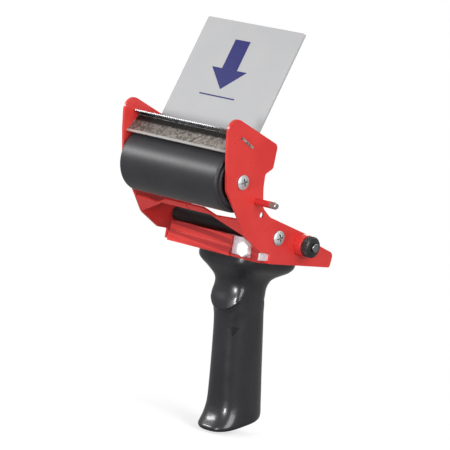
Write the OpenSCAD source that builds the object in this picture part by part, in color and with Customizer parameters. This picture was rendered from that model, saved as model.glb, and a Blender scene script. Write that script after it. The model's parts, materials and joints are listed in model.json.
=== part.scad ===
// Hand-held tape gun dispenser for 3 inch tape.
// The origin is the centre of the cross hole through both side plates, in the middle plane.
// +X is towards the left side plate (knob side), +Y is rearwards, +Z is up, square to the base.

/* [Frame] */
// Inside distance between the two side plates
gap = 81.5; // [78:0.5:90]
// Thickness of the painted sheet steel
sheet = 1.5; // [1.2:0.1:1.8]
// Radius of the cross hole through both side plates
arm_hole_r = 1.75; // [1.5:0.05:2.5]
// Height of the base plate's front wall
wall_h = 11.8; // [11:0.1:14]
// Length of the stud that stands out of the left side plate
stud_len = 16.4; // [12:0.2:24]
// Radius of the stud
stud_r = 2; // [1.5:0.1:2.5]

/* [Press roller] */
// Outside radius of the rubber sleeve
press_r = 18.2; // [17:0.1:18.3]
// Length of the rubber sleeve
press_len = 77.5; // [70:0.5:78]
// Radius of the press roller's axle
press_axle_r = 4; // [3:0.1:5]

/* [Guide roller] */
// Outside radius of the guide roller
guide_r = 4.3; // [4:0.1:5]
// Length of the guide roller
guide_len = 79.4; // [70:0.2:80]
// Radius of the guide roller's axle
guide_axle_r = 2.8; // [2.6:0.1:3]

/* [Cutter] */
// Thickness of the zinc bracket
bracket_t = 1.2; // [1:0.1:1.4]
// Thickness of the toothed blade
blade_t = 0.8; // [0.6:0.1:1]
// Number of teeth along the blade
teeth = 54; // [30:1:80]
// Depth of the teeth
tooth_h = 1.4; // [0.8:0.1:2]

/* [Wiper] */
// Width of the wiper flap
wiper_w = 77; // [70:0.5:77]
// Height of the wiper flap above its hinge
wiper_h = 70.2; // [50:0.2:75]
// Thickness of the wiper flap
wiper_t = 1.2; // [0.8:0.1:1.5]
// Lean of the wiper flap behind upright, in degrees
wiper_lean = 23.3; // [18:0.1:26]

/* [Knob] */
// Outside radius of the knurled knob
knob_r = 6.4; // [5:0.1:7]
// Length of the knob
knob_len = 5; // [4:0.2:6]
// Number of grooves around the knob
knob_grooves = 26; // [16:1:36]

/* [Grip] */
// Radius of the tie bolt in the grip
tie_r = 3; // [2:0.1:3.5]
// Length of the grip below the base, at its front
grip_len = 107.9; // [107:0.1:110]

/* [Hidden] */
$fn = 64;

red = "#d9453f";
zinc = "#b9b2b0";
steel = "#8f9296";
rubber = "#2b2b2e";
black = "#333336";
grey = "#d0d0d0";
brass = "#b08d4c";

// Radial gap of a seated joint, and of a shaft that turns in a bore
seat = 0.02;
running = 0.05;

half_gap = gap / 2;
outer_x = half_gap + sheet;

// Axes that run across the frame, as [y, z]
press = [-20.6, 17.7];
guide = [16.9, -12.3];
tail = [37.3, -15.3];
stud = [-6.9, 7.6];

// Base plate
base_z = -27.6;
floor_top = base_z + sheet;
wall_y = 5.6;
tail_end = 65;
flange_h = 7;
hem_h = 6.2;
hem_t = 1.2;
hem_from = -32.4;
window = [17.5, 33.5];

// Slit between the two halves of the front web
slit_x = 1.4;
slit_w = 0.9;
slit_skew = 1.6;

// Head slot, which carries the blade bracket: front end, rear end, slope and the line it is on
slot_front = [-27.4, 42.5];
slot_rear = [-17, 37.5];
slot_slope = atan2(slot_rear[1] - slot_front[1], slot_rear[0] - slot_front[0]);
slot_len = norm(slot_rear - slot_front);
function on_slope(y) = [y, slot_front[1] + (y - slot_front[0]) * tan(slot_slope)];

// Blade bracket profile: lower lip, bend, and rear edge of its web
bracket_lip = [-34.2, 33.4];
bracket_bend = on_slope(-26.9);
web_rear = on_slope(-22.3);
blade_front = 5.2;

// Wiper hinge axis and its parts
hinge = [-15.05, 41.5];
rod_r = 1.6;
knuckle_r = 2.5;
flap_front = knuckle_r;
flap_foot = 4.6;
flap_notch_x = 28.5;
ear_t = 1.2;
ear_x = half_gap - 1.75;

// Screws through the side plates
screw_r = 2.5;
head_r = 4.3;
head_h = 2;
screw_len = 12;

// Tail rod and its nut
rod_tail_r = 2.5;
rod_end = 54.8;
washer_t = 1;
boss_r = 6.4;
boss_len = 5;
knob_x = outer_x + boss_len + 0.1;
insert_r = 3.8;
thread_pitch = 0.8;

// Slide bar behind the front wall
bar_t = 1.2;
bar_y = wall_y + sheet;
bar_from = 12;
bar_bolt_x = 29;
bar_bolt_z = -21.7;

// Grip bolt
tie_y = 43.5;
recess_r = 6.6;
recess_top = -114;

function unit(v) = v / norm(v);

// Points of an arc of radius r that rounds the corner b between a and c
function corner_arc(a, b, c, r, steps = 8) =
    let (u = unit(a - b))
    let (v = unit(c - b))
    let (half = acos(u * v) / 2)
    let (centre = b + unit(u + v) * r / sin(half))
    let (first = b + u * r / tan(half) - centre)
    let (turn = (180 - 2 * half) * sign(u[1] * v[0] - u[0] * v[1]))
    let (start = atan2(first[1], first[0]))
    [for (i = [0:steps]) centre + r * [cos(start + turn * i / steps), sin(start + turn * i / steps)]];

// Outline whose corners are given as [y, z, radius]
function rounded(corners) =
    let (n = len(corners))
    [for (i = [0:n - 1])
        let (a = corners[(i + n - 1) % n])
        let (b = corners[i])
        let (c = corners[(i + 1) % n])
        each corner_arc([a[0], a[1]], [b[0], b[1]], [c[0], c[1]], b[2])];

// Left-hand normal of the step from a to b
function normal(a, b) = let (d = unit(b - a)) [-d[1], d[0]];

// Vertex i of a bent line, moved to its left by t with a mitre at each bend
function mitre(line, i, t) =
    let (n0 = normal(line[max(i - 1, 0)], line[max(i, 1)]))
    let (n1 = normal(line[min(i, len(line) - 2)], line[min(i + 1, len(line) - 1)]))
    line[i] + (n0 + n1) * t / (1 + n0 * n1);

// Section of a sheet of thickness t that is bent along a line, with the line as its middle
function bent(line, t) = concat(
    [for (i = [0:len(line) - 1]) mitre(line, i, -t / 2)],
    [for (i = [len(line) - 1:-1:0]) mitre(line, i, t / 2)]);

// Extrude a [y, z] outline along X, from x0 to x1
module along_x(x0, x1) {
    translate([x0, 0, 0])
        rotate([90, 0, 90])
            linear_extrude(x1 - x0)
                children();
}

// Cylinder along X on the axis p = [y, z]
module rod_x(p, r, x0, x1, sides = 64) {
    translate([x0, p[0], p[1]])
        rotate([90, 0, 90])
            cylinder(h = x1 - x0, r = r, $fn = sides);
}

// Ring along X on the axis p, from radius r0 to r1
module ring_x(p, r0, r1, x0, x1) {
    difference() {
        rod_x(p, r1, x0, x1);
        rod_x(p, r0, x0 - 1, x1 + 1);
    }
}

// The same shape on both sides of the middle plane
module both_sides() {
    children();
    mirror([1, 0, 0]) children();
}

// Outline of a side plate
module plate_outline() {
    polygon(rounded([
        [-40.5, 55.8, 6.8],
        [3.6, 40.6, 3.2],
        [2.8, 27, 2.5],
        [-2.9, 23.4, 2.5],
        [-2.5, 15.5, 10],
        [-0.2, 4.3, 5],
        [7.1, -0.8, 8],
        [46, -10.4, 2],
        [50.5, -14.4, 2],
        [66.6, -19.1, 3.2],
        [65.2, base_z, 1.5],
        [12.4, base_z, 0.4],
        [12.4, -21.9, 0.4],
        [4.1, -21.3, 3],
        [-11.2, -13.2, 10],
        [-20.1, -1.9, 12],
        [-32.2, 11.8, 6],
        [-37.4, 34.6, 40]]));
}

// Half of the front web: a raised bridge in the middle that widens into a tab at the plate.
// Its outline is in the plane of the web, with x across and y down the slope. It ends at end_x
// at the top of the bridge, and the end is cut aslant by the skew.
module front_web(end_x, skew) {
    web_top = [-19.6, -2.9];
    web_slope = 50;
    tab_h = 13;
    bridge_x = 23.2;
    plate_x = half_gap + sheet / 2;
    translate([0, web_top[0], web_top[1]])
        rotate([-web_slope, 0, 0])
            linear_extrude(sheet)
                polygon([[end_x, -1.4], [bridge_x - 8, -1.4], [bridge_x, 2.7], [plate_x, 1.4],
                    [plate_x, tab_h], [bridge_x - 0.6, 3.9], [bridge_x - 3, 2.1], [end_x + skew, 2.1]]);
}

// Flange that is folded inwards along the rear edge of the head
module head_flange() {
    flange_w = 7;
    along_x(half_gap - flange_w, half_gap + sheet / 2)
        polygon(bent([[2.72, 38.4], [2.13, 28.4]], sheet));
}

module side_plate(end_x, skew) {
    difference() {
        union() {
            along_x(half_gap, outer_x) plate_outline();
            front_web(end_x, skew);
            head_flange();
        }
        rod_x([0, 0], arm_hole_r, half_gap - 1, outer_x + 1);
        rod_x(press, screw_r + seat, half_gap - 1, outer_x + 1);
        rod_x(guide, screw_r + seat, half_gap - 1, outer_x + 1);
        rod_x(tail, rod_tail_r + running, half_gap - 1, outer_x + 1);
        translate([half_gap - 1, slot_front[0], slot_front[1]])
            rotate([slot_slope, 0, 0])
                translate([0, 0, -bracket_t / 2 - 0.1])
                    cube([sheet + 2, slot_len, bracket_t + 0.2]);
    }
}

module side_plate_left() {
    color(red)
        difference() {
            side_plate(slit_x + slit_w / 2, slit_skew);
            rod_x(stud, stud_r - 0.5, half_gap - 1, outer_x + 1);
        }
}

module side_plate_right() {
    color(red) mirror([1, 0, 0]) side_plate(-slit_x + slit_w / 2, -slit_skew);
}

// Floor, front wall with its hem, and a flange up the inside of each side plate. The floor and the
// wall are cut back at the right-hand front corner.
module base_plate() {
    edge = half_gap;
    corner_y = 12.4;
    color(red)
        difference() {
            union() {
                translate([-edge, wall_y, base_z])
                    cube([2 * edge, tail_end - wall_y, sheet]);
                translate([-edge, wall_y, base_z])
                    cube([2 * edge - bar_t - 0.1, sheet, wall_h]);
                translate([hem_from, wall_y - hem_t, base_z])
                    cube([window[0] - hem_from, hem_t + 0.1, hem_h]);
                both_sides()
                    translate([edge - sheet, wall_y + 16, base_z])
                        cube([sheet, tail_end - wall_y - 16, flange_h]);
            }
            translate([-edge - 1, wall_y - 5, base_z - 1])
                cube([edge + 1 + hem_from, corner_y - wall_y + 5, wall_h + 2]);
            translate([window[0], wall_y - 5, base_z + 1.1])
                cube([window[1] - window[0], 5 + sheet + 0.01, wall_h]);
            translate([0, tie_y, base_z - 1])
                cylinder(h = sheet + 2, r = tie_r + 0.2);
        }
}

// Painted stud with a shoulder, riveted through the left side plate
module stud_pin() {
    color(red) {
        rod_x(stud, stud_r - 0.5 - seat, half_gap, outer_x + 0.1);
        rod_x(stud, stud_r, outer_x, outer_x + stud_len - 1);
        translate([outer_x + stud_len - 1, stud[0], stud[1]])
            rotate([0, 90, 0])
                cylinder(h = 1, r1 = stud_r, r2 = stud_r - 0.6);
    }
}

// Zinc bar behind the front wall, with an ear that shows in the side plate's notch
module slide_bar() {
    ear_h = 5.6;
    ear_len = 10.5;
    color(zinc)
        difference() {
            union() {
                translate([bar_from, bar_y, floor_top])
                    cube([half_gap - bar_from, bar_t, wall_h - sheet]);
                translate([half_gap - bar_t, wall_y, floor_top])
                    cube([bar_t, ear_len, ear_h - sheet]);
            }
            translate([bar_bolt_x, bar_y - 1, bar_bolt_z])
                rotate([-90, 0, 0])
                    cylinder(h = bar_t + 2, r = screw_r + seat);
        }
}

// Hex bolt that clamps the slide bar from the front
module slide_bolt() {
    face_y = bar_y - washer_t;
    color(steel)
        translate([bar_bolt_x, face_y, bar_bolt_z])
            rotate([90, 0, 0]) {
                rotate([0, 0, 30]) cylinder(h = 3.4, r = 4.7, $fn = 6);
                translate([0, 0, -washer_t - bar_t]) cylinder(h = washer_t + bar_t + 0.1, r = screw_r);
            }
}

module slide_washer() {
    color(zinc)
        translate([bar_bolt_x, bar_y, bar_bolt_z])
            rotate([90, 0, 0])
                difference() {
                    cylinder(h = washer_t, r = 4.2);
                    translate([0, 0, -1]) cylinder(h = washer_t + 2, r = screw_r + seat);
                }
}

// Place children in the plane of the bracket's web: x across, y rearwards down the slope, z up
module on_web() {
    translate([0, slot_front[0], slot_front[1]])
        rotate([slot_slope, 0, 0])
            children();
}

blade_screw_x = [-26, 0, 26];
blade_screw_y = 2.6;
blade_screw_r = 1.5;

// L bracket: web on the slope of the head slot, front leg down to the lip, tabs and hinge ears
module blade_bracket() {
    hem = bracket_lip + [-0.9, 0.35];
    side_x = ear_x - ear_t;
    color(zinc)
        difference() {
            union() {
                along_x(-half_gap + 0.3, half_gap - 0.3)
                    polygon(bent([web_rear, bracket_bend, bracket_lip, hem], bracket_t));
                both_sides() {
                    on_web()
                        translate([half_gap - 1, 0.3, -bracket_t / 2])
                            cube([sheet + 1.6, slot_len - 0.6, bracket_t]);
                    on_web()
                        translate([side_x, 3, -bracket_t / 2])
                            cube([half_gap - 0.3 - side_x, slot_len - 3, bracket_t]);
                    along_x(side_x, side_x + ear_t)
                        union() {
                            translate(hinge) circle(r = 3.2);
                            polygon([slot_front + [4.5, -2.3], slot_rear + [-0.2, 0.1],
                                hinge + [3.1, -0.8], hinge + [-1.9, 2.57]]);
                        }
                }
            }
            both_sides() rod_x(hinge, rod_r + seat, side_x - 1, half_gap);
            for (x = blade_screw_x)
                on_web() translate([x, blade_screw_y, -3]) cylinder(h = 6, r = blade_screw_r + seat);
        }
}

// Toothed strip on top of the bracket's web, with its teeth ahead of the bend
module blade() {
    w = gap - 1;
    pitch = w / teeth;
    rear = 4.6;
    color(steel)
        difference() {
            on_web()
                translate([0, 0, bracket_t / 2])
                    linear_extrude(blade_t)
                        polygon(concat(
                            [[w / 2, rear], [-w / 2, rear]],
                            [for (i = [0:teeth - 1]) each [
                                [-w / 2 + i * pitch, -blade_front + tooth_h],
                                [-w / 2 + (i + 0.5) * pitch, -blade_front]]],
                            [[w / 2, -blade_front + tooth_h]]));
            for (x = blade_screw_x)
                on_web() translate([x, blade_screw_y, -3]) cylinder(h = 6, r = blade_screw_r + seat);
        }
}

// Domed pan head of radius r and height h that stands on z = 0, with a cross recess
module pan_head(r, h) {
    edge = h * 0.45;
    dome = (r * r + (h - edge) * (h - edge)) / (2 * (h - edge));
    difference() {
        rotate_extrude()
            intersection() {
                square([r, h]);
                union() {
                    square([r, edge]);
                    translate([0, h - dome]) circle(r = dome);
                }
            }
        for (a = [0, 90])
            rotate([0, 0, a])
                translate([-r * 0.55, -r * 0.11, h * 0.4])
                    cube([r * 1.1, r * 0.22, h]);
    }
}

module blade_screws() {
    top = bracket_t / 2 + blade_t;
    color(steel)
        for (x = blade_screw_x)
            on_web()
                translate([x, blade_screw_y, top]) {
                    pan_head(2.6, 1.3);
                    translate([0, 0, -top - bracket_t / 2 - 0.5])
                        cylinder(h = top + bracket_t / 2 + 0.6, r = blade_screw_r);
                }
}

// Place children on the wiper's hinge: x across, y behind the flap's face, z up along the flap
module on_flap() {
    translate([0, hinge[0], hinge[1]])
        rotate([-wiper_lean, 0, 0])
            children();
}

rivet_x = [-11, 11];
rivet_z = -3.1;
rivet_r = 0.8;

module rivet_holes() {
    for (x = rivet_x)
        translate([x, 0, rivet_z]) rotate([-90, 0, 0]) cylinder(h = 8, r = rivet_r + seat);
}

// Flat flap with rounded corners, cut back at its foot to clear the springs
module wiper_plate() {
    w = wiper_w / 2;
    foot = flap_notch_x;
    notch_z = 3.6;
    color(grey)
        on_flap()
            difference() {
                translate([0, flap_front + wiper_t, 0])
                    rotate([90, 0, 0])
                        linear_extrude(wiper_t)
                            polygon(rounded([[-w, wiper_h, 1.2], [-w, notch_z, 1], [-foot, notch_z, 1],
                                [-foot, -flap_foot, 1], [foot, -flap_foot, 1], [foot, notch_z, 1],
                                [w, notch_z, 1], [w, wiper_h, 1.2]]));
                rivet_holes();
            }
}

// Hinge leaf below the rod, with three knuckles around it
module wiper_leaf() {
    leaf_t = knuckle_r - rod_r - running;
    leaf_x = 27;
    knuckles = [-22, 0, 22];
    color(zinc)
        on_flap()
            difference() {
                union() {
                    translate([-leaf_x, knuckle_r - leaf_t, -flap_foot])
                        cube([2 * leaf_x, leaf_t, flap_foot - 1.9]);
                    for (x = knuckles) {
                        rod_x([0, 0], knuckle_r, x - 5, x + 5);
                        translate([x - 5, 0, -flap_foot + 1]) cube([10, knuckle_r, flap_foot - 1]);
                    }
                }
                rod_x([0, 0], rod_r + running, -leaf_x - 1, leaf_x + 1);
                for (x = knuckles)
                    translate([x - 6, -0.01, -flap_foot]) cube([12, knuckle_r - leaf_t + 0.01, flap_foot]);
                rivet_holes();
            }
}

module wiper_rivets() {
    head = 1.2;
    front = rod_r + running;
    color(steel)
        on_flap()
            for (x = rivet_x)
                translate([x, 0, rivet_z])
                    rotate([-90, 0, 0]) {
                        translate([0, 0, front - 0.5]) cylinder(h = 0.5, r = head);
                        translate([0, 0, front - 0.1])
                            cylinder(h = flap_front + wiper_t - front + 0.2, r = rivet_r);
                        translate([0, 0, flap_front + wiper_t]) cylinder(h = 0.5, r = head);
                    }
}

module wiper_rod() {
    color(steel) rod_x(hinge, rod_r, -half_gap + 0.4, half_gap - 0.4);
}

// Round wire of radius r along a path that lies mostly across X
module wire(path, r, sides = 8) {
    n = len(path);
    rings = [for (i = [0:n - 1])
        let (t = unit(path[min(i + 1, n - 1)] - path[max(i - 1, 0)]))
        let (u = unit(cross(t, [1, 0, 0])))
        let (v = cross(u, t))
        each [for (k = [0:sides - 1])
            path[i] + r * (u * cos(360 * k / sides) + v * sin(360 * k / sides))]];
    walls = [for (i = [0:n - 2], k = [0:sides - 1])
        let (m = (k + 1) % sides)
        [i * sides + k, i * sides + m, (i + 1) * sides + m, (i + 1) * sides + k]];
    first = [for (k = [0:sides - 1]) sides - 1 - k];
    last = [for (k = [0:sides - 1]) (n - 1) * sides + k];
    polyhedron(points = rings, faces = concat([first], walls, [last]), convexity = 10);
}

// Torsion spring: one leg forward on the web, the coil round the rod, one leg up behind the flap.
// It is drawn for a flap that leans by 23.3 degrees, and the rear leg turns with any other lean.
module wiper_springs() {
    wire_r = 0.4;
    coil_r = 2.25;
    coil_x = 36.8;
    pitch = 1;
    drawn_lean = 23.3;
    turn = drawn_lean - wiper_lean;
    last = 360 * 5 + 63 + turn;
    steps = 92;
    leg_foot = [[coil_x, -9, -2.2], [coil_x, -6, -2.28]];
    coil = [for (i = [0:steps])
        let (a = -90 + last * i / steps)
        [coil_x - pitch * last / 360 * i / steps, coil_r * cos(a), coil_r * sin(a)]];
    end_x = coil_x - pitch * last / 360;
    leg_flap = [for (p = [[4.55, 3.9], [4.3, 12]])
        [end_x, p[0] * cos(turn) - p[1] * sin(turn), p[0] * sin(turn) + p[1] * cos(turn)]];
    color(steel)
        both_sides()
            translate([0, hinge[0], hinge[1]])
                rotate([-drawn_lean, 0, 0])
                    wire(concat(leg_foot, coil, leg_flap), wire_r);
}

core_r = 13;
bush_r = 11.4;

module press_sleeve() {
    color(rubber)
        difference() {
            rod_x(press, press_r, -press_len / 2, press_len / 2, 128);
            rod_x(press, core_r, -press_len / 2 - 1, press_len / 2 + 1, 96);
        }
}

module press_core() {
    color(steel) ring_x(press, bush_r, core_r - seat, -press_len / 2 + 0.5, press_len / 2 - 0.5);
}

// Plug with a flange inside the core tube and a boss that runs up to the side plate
module press_bushes() {
    plug = 12;
    end = press_len / 2;
    color(black)
        both_sides()
            difference() {
                union() {
                    rod_x(press, bush_r - seat, end - 1.5 - plug, end - 1.5);
                    rod_x(press, 6.5, end - 2, half_gap - 0.3);
                }
                rod_x(press, press_axle_r + running, end - 20, half_gap + 1);
            }
}

// Axle between the side plates with a tapped hole in each end
module tapped_axle(p, r) {
    color(steel)
        difference() {
            rod_x(p, r, -half_gap + 0.05, half_gap - 0.05);
            both_sides() rod_x(p, min(screw_r, r - 0.8) + seat, half_gap - screw_len, half_gap + 1);
        }
}

module press_axle() {
    tapped_axle(press, press_axle_r);
}

// Pan head screws from outside into both ends of an axle
module axle_screws(p, shank_r) {
    color(zinc)
        both_sides() {
            translate([outer_x, p[0], p[1]])
                rotate([0, 90, 0])
                    rotate([0, 0, 20])
                        pan_head(head_r, head_h);
            rod_x(p, screw_r, half_gap + 0.1, outer_x + 0.1);
            rod_x(p, shank_r, half_gap - screw_len + 1, half_gap + 0.2);
        }
}

module press_screws() {
    axle_screws(press, screw_r);
}

module guide_sleeve() {
    color(black) ring_x(guide, guide_axle_r + running, guide_r, -guide_len / 2, guide_len / 2);
}

module guide_axle() {
    tapped_axle(guide, guide_axle_r);
}

module guide_screws() {
    axle_screws(guide, min(screw_r, guide_axle_r - 0.8));
}

// V grooves cut round a rod end, one for each turn of thread
module thread_x(p, r, x0, x1) {
    depth = 0.35;
    turns = floor((x1 - x0) / thread_pitch);
    translate([x0, p[0], p[1]])
        rotate([90, 0, 90])
            rotate_extrude()
                polygon(concat([[0, 0]],
                    [for (i = [0:turns - 1]) each [
                        [r - depth, i * thread_pitch],
                        [r, (i + 0.5) * thread_pitch]]],
                    [[r - depth, turns * thread_pitch], [0, turns * thread_pitch]]));
}

module tail_rod() {
    color(steel) {
        rod_x(tail, rod_tail_r, -48, knob_x + 2);
        thread_x(tail, rod_tail_r, knob_x + 1.9, rod_end);
    }
}

module tail_spacer() {
    color(zinc) ring_x(tail, rod_tail_r + running, 4, -half_gap + 0.02, half_gap - 0.02);
}

// Painted boss between the left side plate and the knob
module tail_boss() {
    color(red) ring_x(tail, rod_tail_r + running, boss_r, outer_x, outer_x + boss_len);
}

module tail_washer() {
    color(zinc)
        mirror([1, 0, 0])
            ring_x(tail, rod_tail_r + running, 5.6, outer_x, outer_x + washer_t);
}

module tail_nut() {
    x0 = outer_x + washer_t;
    color(zinc)
        mirror([1, 0, 0])
            difference() {
                translate([x0, tail[0], tail[1]])
                    rotate([90, 0, 90])
                        cylinder(h = 4, r = 4.6, $fn = 6);
                rod_x(tail, rod_tail_r + seat, x0 - 1, x0 + 5);
            }
}

// Short grooved knob with both of its faces bevelled
module knob() {
    groove = 0.55;
    bevel = 1.2;
    root = knob_r - groove;
    n = 2 * knob_grooves;
    color(black)
        difference() {
            union() {
                along_x(knob_x + bevel, knob_x + knob_len - bevel)
                    translate(tail)
                        polygon([for (i = [0:n - 1])
                            let (r = knob_r - (i % 2) * groove)
                            r * [cos(360 * i / n), sin(360 * i / n)]]);
                translate([knob_x, tail[0], tail[1]])
                    rotate([0, 90, 0]) {
                        cylinder(h = bevel, r1 = root - bevel, r2 = root);
                        translate([0, 0, bevel - 0.01]) cylinder(h = knob_len - 2 * bevel + 0.02, r = root);
                        translate([0, 0, knob_len - bevel])
                            cylinder(h = bevel, r1 = root, r2 = root - bevel);
                    }
            }
            rod_x(tail, insert_r + seat, knob_x - 1, knob_x + knob_len + 1);
        }
}

module knob_insert() {
    color(brass) ring_x(tail, rod_tail_r + running, insert_r, knob_x, knob_x + knob_len - 0.6);
}

// Sections of the grip from top to butt, each as
// [height, front, rear, half width, squareness, drop at the front for the sloped butt]
grip_sections = [
    [base_z, 15.4, 65.2, 23.5, 4, 0],
    [base_z - 3.4, 15.4, 65.2, 23.5, 4, 0],
    [base_z - 6, 15.2, 65.2, 23.4, 3.6, 0],
    [base_z - 8.8, 17, 63.7, 20.5, 3.2, 0],
    [base_z - 11, 19.3, 59.5, 18, 3, 0],
    [base_z - 13.4, 21.6, 54.8, 15.8, 2.8, 0],
    [base_z - 16, 23.1, 54.3, 14.2, 2.6, 0],
    [base_z - 19, 23.6, 53.9, 13.4, 2.4, 0],
    [base_z - 25, 24.6, 53.5, 13, 2.4, 0],
    [base_z - 31, 24.3, 55, 13, 2.4, 0],
    [base_z - 35, 24.1, 55.9, 12.9, 2.4, 0],
    [base_z - 37.2, 26, 56.3, 12.8, 2.4, 0],
    [base_z - 50, 28.1, 58.9, 12.8, 2.4, 0],
    [base_z - 68, 30.4, 62.3, 13, 2.4, 0.4],
    [base_z - 82, 32.5, 64.5, 13.4, 2.5, 1.2],
    [base_z - 90, 33.4, 65.3, 13.8, 2.6, 2.4],
    [base_z - 96, 31.7, 66.3, 14, 2.7, 3.6],
    [base_z - 100.5, 28.3, 66.8, 13.8, 2.7, 4.8],
    [base_z - grip_len + 5.4, 26.8, 65.5, 12.2, 2.6, 5.4]];

// Signed power, for the rounded sections
function spow(v, e) = sign(v) * pow(abs(v), e);

function grip_ring(s, sides) =
    let (mid = (s[1] + s[2]) / 2)
    let (depth = (s[2] - s[1]) / 2)
    [for (k = [0:sides - 1])
        let (a = 360 * k / sides)
        let (x = s[3] * spow(cos(a), 2 / s[4]))
        let (y = depth * spow(sin(a), 2 / s[4]))
        [x, mid + y, s[0] + s[5] * (y / depth)]];

// Catmull-Rom blend between sections i and i + 1
function blend_section(i, t) =
    let (n = len(grip_sections) - 1)
    let (a = grip_sections[max(i - 1, 0)])
    let (b = grip_sections[i])
    let (c = grip_sections[min(i + 1, n)])
    let (d = grip_sections[min(i + 2, n)])
    0.5 * (2 * b + (c - a) * t + (2 * a - 5 * b + 4 * c - d) * t * t
        + (3 * b - a - 3 * c + d) * t * t * t);

// Moulded pistol grip with a through bore and a nut recess in the butt
module grip() {
    sides = 40;
    per = 2;
    n = len(grip_sections) - 1;
    sections = concat([for (i = [0:n - 1], j = [0:per - 1]) blend_section(i, j / per)],
        [grip_sections[n]]);
    rings = [for (s = sections) each grip_ring(s, sides)];
    last = len(sections) - 1;
    walls = [for (i = [0:last - 1], k = [0:sides - 1])
        let (m = (k + 1) % sides)
        [i * sides + k, i * sides + m, (i + 1) * sides + m, (i + 1) * sides + k]];
    top = [for (k = [0:sides - 1]) sides - 1 - k];
    butt = [for (k = [0:sides - 1]) last * sides + k];
    color(black)
        difference() {
            polyhedron(points = rings, faces = concat([top], walls, [butt]), convexity = 6);
            translate([0, tie_y, recess_top - 1]) cylinder(h = 120, r = tie_r + 0.2);
            translate([0, tie_y, recess_top - 40]) cylinder(h = 40, r = recess_r);
        }
}

// Tie bolt with a low round head on the floor
module grip_bolt() {
    color(zinc)
        translate([0, tie_y, 0]) {
            translate([0, 0, floor_top]) cylinder(h = 2.6, r = 6.4);
            translate([0, 0, recess_top - 7.4]) cylinder(h = floor_top - recess_top + 7.5, r = tie_r);
        }
}

module grip_washer() {
    color(zinc)
        translate([0, tie_y, recess_top - washer_t])
            difference() {
                cylinder(h = washer_t, r = 6.2);
                translate([0, 0, -1]) cylinder(h = washer_t + 2, r = tie_r + running);
            }
}

module grip_nut() {
    nut_h = 5;
    color(steel)
        translate([0, tie_y, recess_top - washer_t - nut_h])
            difference() {
                cylinder(h = nut_h, r = 5.7, $fn = 6);
                translate([0, 0, -1]) cylinder(h = nut_h + 2, r = tie_r + seat);
            }
}

side_plate_left();
side_plate_right();
base_plate();
stud_pin();
slide_bar();
slide_bolt();
slide_washer();
blade_bracket();
blade();
blade_screws();
wiper_plate();
wiper_leaf();
wiper_rivets();
wiper_rod();
wiper_springs();
press_sleeve();
press_core();
press_bushes();
press_axle();
press_screws();
guide_sleeve();
guide_axle();
guide_screws();
tail_rod();
tail_spacer();
tail_boss();
tail_washer();
tail_nut();
knob();
knob_insert();
grip();
grip_bolt();
grip_washer();
grip_nut();
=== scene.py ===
"""Looks of a hand-held tape gun dispenser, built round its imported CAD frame.

Lengths are in metres. In a material's own coordinates, and where a name ends in _mm, they are
in millimetres.
"""
import json
import math

import bpy
from mathutils import Matrix, Vector
from mathutils.bvhtree import BVHTree


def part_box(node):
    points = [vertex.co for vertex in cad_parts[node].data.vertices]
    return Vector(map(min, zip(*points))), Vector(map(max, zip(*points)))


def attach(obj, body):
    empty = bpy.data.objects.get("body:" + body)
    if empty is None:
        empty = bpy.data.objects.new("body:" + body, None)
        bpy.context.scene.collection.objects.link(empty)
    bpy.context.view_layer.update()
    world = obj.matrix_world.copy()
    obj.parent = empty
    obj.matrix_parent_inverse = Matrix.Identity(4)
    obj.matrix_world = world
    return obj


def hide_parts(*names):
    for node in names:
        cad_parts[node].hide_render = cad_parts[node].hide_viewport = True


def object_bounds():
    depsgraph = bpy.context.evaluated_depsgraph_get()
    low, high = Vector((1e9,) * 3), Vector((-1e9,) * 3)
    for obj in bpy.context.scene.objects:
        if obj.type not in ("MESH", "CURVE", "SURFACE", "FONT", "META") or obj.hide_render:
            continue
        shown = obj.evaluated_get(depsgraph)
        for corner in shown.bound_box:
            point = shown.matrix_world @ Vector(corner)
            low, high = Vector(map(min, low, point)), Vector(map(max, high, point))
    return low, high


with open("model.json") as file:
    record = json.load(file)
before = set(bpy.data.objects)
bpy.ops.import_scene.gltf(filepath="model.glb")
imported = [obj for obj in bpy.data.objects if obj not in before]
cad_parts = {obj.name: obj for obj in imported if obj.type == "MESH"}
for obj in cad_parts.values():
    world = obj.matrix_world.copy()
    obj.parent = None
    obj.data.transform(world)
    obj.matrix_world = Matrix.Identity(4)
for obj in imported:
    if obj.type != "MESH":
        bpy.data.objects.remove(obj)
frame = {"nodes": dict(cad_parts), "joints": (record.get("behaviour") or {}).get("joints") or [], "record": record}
cad_low, cad_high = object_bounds()

MM = 0.001
TAU = 2 * math.pi
record = frame["record"]
joints = {j["name"]: j for j in frame["joints"]}


def axis_of(joint):
    """(y, z) of a cross axis, from the joint that turns about it."""
    return joints[joint]["pos_m"][1], joints[joint]["pos_m"][2]


# ---------------------------------------------------------------- material kit

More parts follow.
